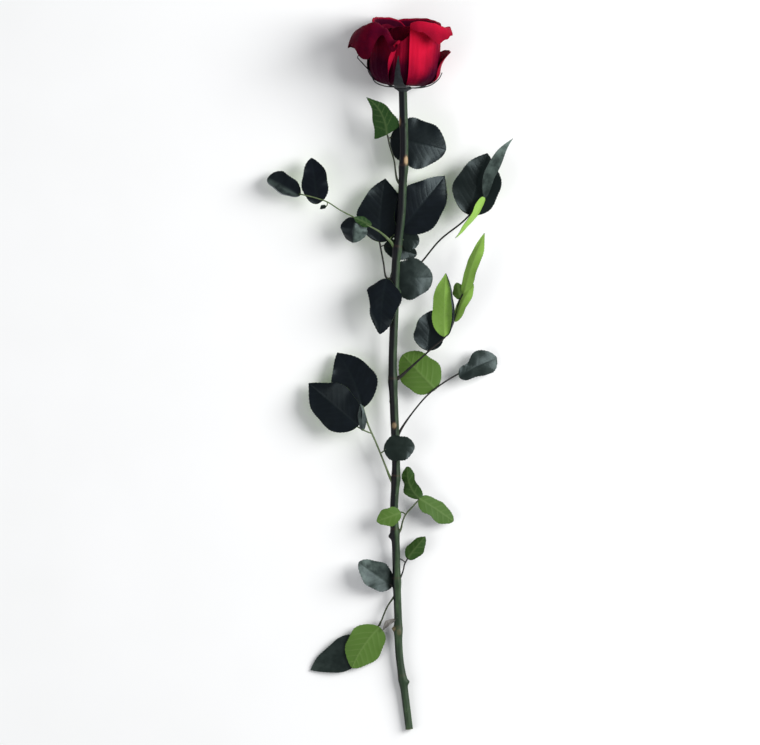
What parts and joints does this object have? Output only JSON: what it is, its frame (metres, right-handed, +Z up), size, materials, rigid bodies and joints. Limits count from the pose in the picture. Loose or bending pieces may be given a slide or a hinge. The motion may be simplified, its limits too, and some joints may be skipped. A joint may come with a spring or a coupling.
{
  "type": "long-stem rose",
  "caption": "Cut rose lying on its side: a full bloom with reflexed outer petals, a calyx with pointed sepals, and a long slim stem with compound leaves.",
  "frame": {"origin": "centre of the lying rose's bounding box, on the surface that it lies on", "axes": "+Y along the stem towards the bloom, +X to the right seen from above, +Z up from the surface"},
  "size_m": [0.1846, 0.5347, 0.0629],
  "materials": {
    "cane": "waxy, satin",
    "calyx": "matte",
    "petals": "velvety",
    "leaf_dark": "glossy upper face",
    "leaf_bright": "satin underside"
  },
  "bodies": {
    "root": {"stem": "cane", "calyx": "calyx", "bloom": "petals", "leaf_top": "leaf_bright", "leaf_far_left": "leaf_dark", "leaf_upper_left": "leaf_dark", "leaf_upper_right": "leaf_dark", "leaf_bright_right": "leaf_bright", "leaf_middle_right": "leaf_dark", "leaf_middle_left": "leaf_dark", "leaf_low_right": "leaf_dark", "leaf_tiny_right": "leaf_bright", "leaf_low_left": "leaf_dark", "leaf_bottom_left": "leaf_bright"}
  },
  "joints": []
}
